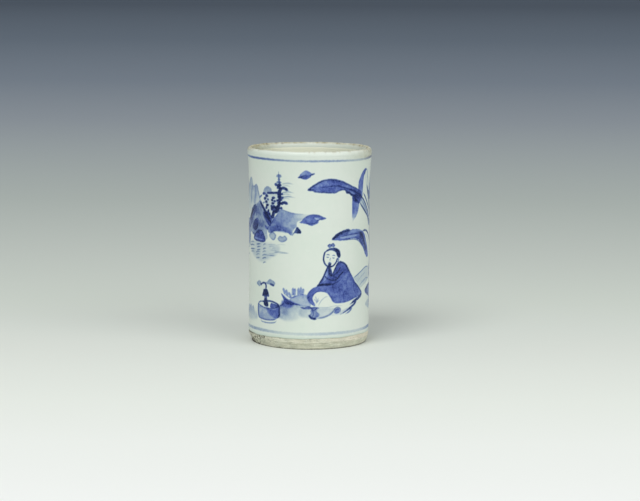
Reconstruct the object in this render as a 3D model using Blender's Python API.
"""A small porcelain brush pot, in metres, +Z up, standing on z = 0 with its axis on Z.

It is built as a potter builds it: a thrown wall, a base disc luted into it with a
ring of slip, then the coats that are fired on: the outer glaze, the inner glaze and
the iron-tinted dressing of the lip. Nothing on a brush pot moves.
"""

import math

import bmesh
import bpy

MM = 0.001

# Driving dimensions
HEIGHT = 129.0 * MM  # foot to lip
BODY_RADIUS = 40.0 * MM  # glazed outside, at the waist
WALL = 3.6 * MM  # glaze to glaze, at the waist and the lip
BASE_THICKNESS = 6.5 * MM

RIM_FLARE = 1.35 * MM  # how far the mouth opens beyond the waist
RIM_FLARE_HEIGHT = 24.0 * MM
FOOT_FLARE = 0.3 * MM
FOOT_FLARE_HEIGHT = 30.0 * MM
WALL_THICKENING = 1.6 * MM  # the thrown wall is thicker towards the floor
THICKENING_HEIGHT = 45.0 * MM

BEVEL_HEIGHT = 4.6 * MM  # the knife-cut bevel round the bottom edge
BEVEL_WIDTH = 1.9 * MM
FOOT_RING = 6.0 * MM  # width of the flat ring that the pot stands on
BASE_RECESS = 1.3 * MM  # how far the middle of the base stands above that ring
RECESS_BEVEL = 1.2 * MM

GLAZE = 0.4 * MM
GAP = 0.3 * MM  # clearance between a coat and what it covers
GLAZE_LINE = 6.4 * MM  # the outer glaze stops here, above the bare foot
LIP_DEPTH = 3.6 * MM  # how far the lip's dressing reaches down
LIP_ROUNDING = 3.0 * MM  # height of the half-round lip
LUTING = 3.0 * MM  # radius of the slip fillet between disc and wall
POOL_STEP = 1.0 * MM  # length over which the inner glaze rises on to that fillet

SEGMENTS = 64
ARC_STEPS = 4
WALL_STEPS = 5  # profile steps on each long side
FULL_TURN = 2 * math.pi
CREASE_ANGLE = math.radians(35)

COAT = GLAZE + GAP
DISC_TOP = BASE_RECESS + BASE_THICKNESS
FLOOR_UNDERSIDE = DISC_TOP + GAP  # underside of the inner glaze


def outer_radius(z):
    """Radius of the finished outside: a straight waist that opens to the lip and the foot."""
    rim = max(0.0, (z - HEIGHT + RIM_FLARE_HEIGHT) / RIM_FLARE_HEIGHT)
    foot = max(0.0, 1 - z / FOOT_FLARE_HEIGHT)
    return BODY_RADIUS + RIM_FLARE * rim**2 + FOOT_FLARE * foot**2


def inner_radius(z):
    """Radius of the finished inside, one wall in from the outside."""
    thickening = WALL_THICKENING * max(0.0, 1 - z / THICKENING_HEIGHT) ** 2
    return outer_radius(z) - WALL - thickening


def long_side(radius_at, low, high, offset=0.0):
    """Profile points from low to high on a radius function, closer together at the ends."""
    points = []
    for i in range(WALL_STEPS + 1):
        share = (1 - math.cos(math.pi * i / WALL_STEPS)) / 2
        z = low + (high - low) * share
        points.append((radius_at(z) + offset, z))
    return points


def arc(centre, radius, start, end, height=None):
    """Profile points on a stretch of an ellipse, from start to end in degrees."""
    height = radius if height is None else height
    points = []
    for i in range(ARC_STEPS + 1):
        angle = math.radians(start + (end - start) * i / ARC_STEPS)
        points.append((centre[0] + radius * math.cos(angle), centre[1] + height * math.sin(angle)))
    return points


def fired(name, colour, roughness, coat=0.0):
    """A Principled BSDF material."""
    material = bpy.data.materials.new(name)
    material.use_nodes = True
    shader = material.node_tree.nodes["Principled BSDF"]
    shader.inputs["Base Color"].default_value = (*colour, 1.0)
    shader.inputs["Roughness"].default_value = roughness
    shader.inputs["Metallic"].default_value = 0.0
    shader.inputs["Coat Weight"].default_value = coat
    material.diffuse_color = (*colour, 1.0)
    return material


def lathe(name, profile, material, on_axis=False):
    """Spins a profile of (radius, z) points round Z: a closed loop, or a line with both ends on the axis."""
    mesh = bpy.data.meshes.new(name)
    work = bmesh.new()
    verts = [work.verts.new((radius, 0.0, z)) for radius, z in profile]
    pairs = list(zip(verts, verts[1:]))
    if not on_axis:
        pairs.append((verts[-1], verts[0]))
    edges = [work.edges.new(pair) for pair in pairs]
    bmesh.ops.spin(
        work, geom=verts + edges, cent=(0, 0, 0), axis=(0, 0, 1), angle=FULL_TURN,
        steps=SEGMENTS, use_merge=True, use_duplicate=False,
    )
    bmesh.ops.remove_doubles(work, verts=work.verts, dist=MM / 1000)
    bmesh.ops.recalc_face_normals(work, faces=work.faces)
    work.to_mesh(mesh)
    work.free()
    mesh.materials.append(material)
    mesh.shade_smooth()
    mesh.set_sharp_from_angle(angle=CREASE_ANGLE)
    piece = bpy.data.objects.new(name, mesh)
    bpy.context.scene.collection.objects.link(piece)
    return piece


def make_thrown_wall(material):
    """The thrown porcelain cylinder: rounded lip, straight wall, bare bevelled foot."""
    spring = HEIGHT - LIP_ROUNDING
    half = WALL / 2 - COAT
    middle = outer_radius(spring) - WALL / 2
    ledge = GLAZE_LINE - GAP  # the bare foot is thicker than the glazed wall by one coat
    seat = inner_radius(DISC_TOP) + COAT
    profile = [
        (seat, 0.0),
        (outer_radius(0) - BEVEL_WIDTH, 0.0),
        (outer_radius(BEVEL_HEIGHT), BEVEL_HEIGHT),
        (outer_radius(ledge), ledge),
        (outer_radius(ledge) - COAT, ledge),
    ]
    profile += long_side(outer_radius, GLAZE_LINE + COAT, spring, -COAT)
    profile += arc((middle, spring), half, 0, 180, LIP_ROUNDING - COAT)[1:-1]
    profile += reversed(long_side(inner_radius, DISC_TOP, spring, COAT))
    return lathe("thrown_wall", profile, material)


def make_base_disc(material):
    """The disc that closes the cylinder: its edge stands on the table, its middle just clear of it."""
    radius = inner_radius(DISC_TOP) + COAT - GAP
    ring_inside = outer_radius(0) - BEVEL_WIDTH - FOOT_RING
    profile = [
        (0.0, BASE_RECESS),
        (ring_inside - RECESS_BEVEL, BASE_RECESS),
        (ring_inside, 0.0),
        (radius, 0.0),
        (radius, DISC_TOP),
        (0.0, DISC_TOP),
    ]
    return lathe("base_disc", profile, material, on_axis=True)


def luting_corner():
    """Radius of the corner that the slip fillet fills, just clear of the wall."""
    return inner_radius(FLOOR_UNDERSIDE + LUTING) + GLAZE


def make_luting_ring(material):
    """The fillet of slip that seals the corner between the disc and the wall."""
    corner = luting_corner()
    profile = [(corner, FLOOR_UNDERSIDE)]
    profile += arc((corner - LUTING, FLOOR_UNDERSIDE + LUTING), LUTING, 0, -90)
    return lathe("luting_ring", profile, material)


def make_outer_glaze(material):
    """The clear coat on the outside, from the bare foot to just under the lip's dressing."""
    top = HEIGHT - LIP_DEPTH - GAP
    start = GLAZE_LINE + GLAZE
    profile = long_side(outer_radius, start, top)
    profile += reversed(long_side(outer_radius, start, top, -GLAZE))
    profile.append((outer_radius(GLAZE_LINE) - GLAZE, GLAZE_LINE))
    return lathe("outer_glaze", profile, material)


def make_inner_glaze(material):
    """The coat that lines the well: down the wall, over the slip fillet and across the floor."""
    top = HEIGHT - LIP_DEPTH - GAP
    centre = (luting_corner() - LUTING, FLOOR_UNDERSIDE + LUTING)
    under = LUTING - GAP
    over = under - GLAZE
    foot = centre[1] + POOL_STEP
    profile = [(0.0, FLOOR_UNDERSIDE + GLAZE), (centre[0] - POOL_STEP, FLOOR_UNDERSIDE + GLAZE)]
    profile += arc(centre, over, -90, 0)
    profile += long_side(inner_radius, foot, top)
    profile += reversed(long_side(inner_radius, foot, top, GLAZE))
    profile += arc(centre, under, 0, -90)
    profile += [(centre[0] - POOL_STEP, FLOOR_UNDERSIDE), (0.0, FLOOR_UNDERSIDE)]
    return lathe("inner_glaze", profile, material, on_axis=True)


def make_lip_dressing(material):
    """The thin tan coat that caps the lip and reaches down both sides."""
    low = HEIGHT - LIP_DEPTH
    spring = HEIGHT - LIP_ROUNDING
    half = WALL / 2
    middle = outer_radius(spring) - half
    profile = [(outer_radius(low), low)]
    profile += arc((middle, spring), half, 0, 180, LIP_ROUNDING)
    profile += [(inner_radius(low), low), (inner_radius(low) + GLAZE, low)]
    profile += arc((middle, spring), half - GLAZE, 180, 0, LIP_ROUNDING - GLAZE)
    profile.append((outer_radius(low) - GLAZE, low))
    return lathe("lip_dressing", profile, material)


def main():
    for leftover in list(bpy.data.objects):
        bpy.data.objects.remove(leftover)
    biscuit = fired("biscuit", (0.60, 0.58, 0.47), 0.85)
    clear_coat = fired("glaze", (0.72, 0.78, 0.72), 0.15, coat=0.6)
    dressing = fired("lip_dressing", (0.50, 0.44, 0.32), 0.35)
    make_thrown_wall(biscuit)
    make_base_disc(biscuit)
    make_luting_ring(biscuit)
    make_outer_glaze(clear_coat)
    make_inner_glaze(clear_coat)
    make_lip_dressing(dressing)


main()
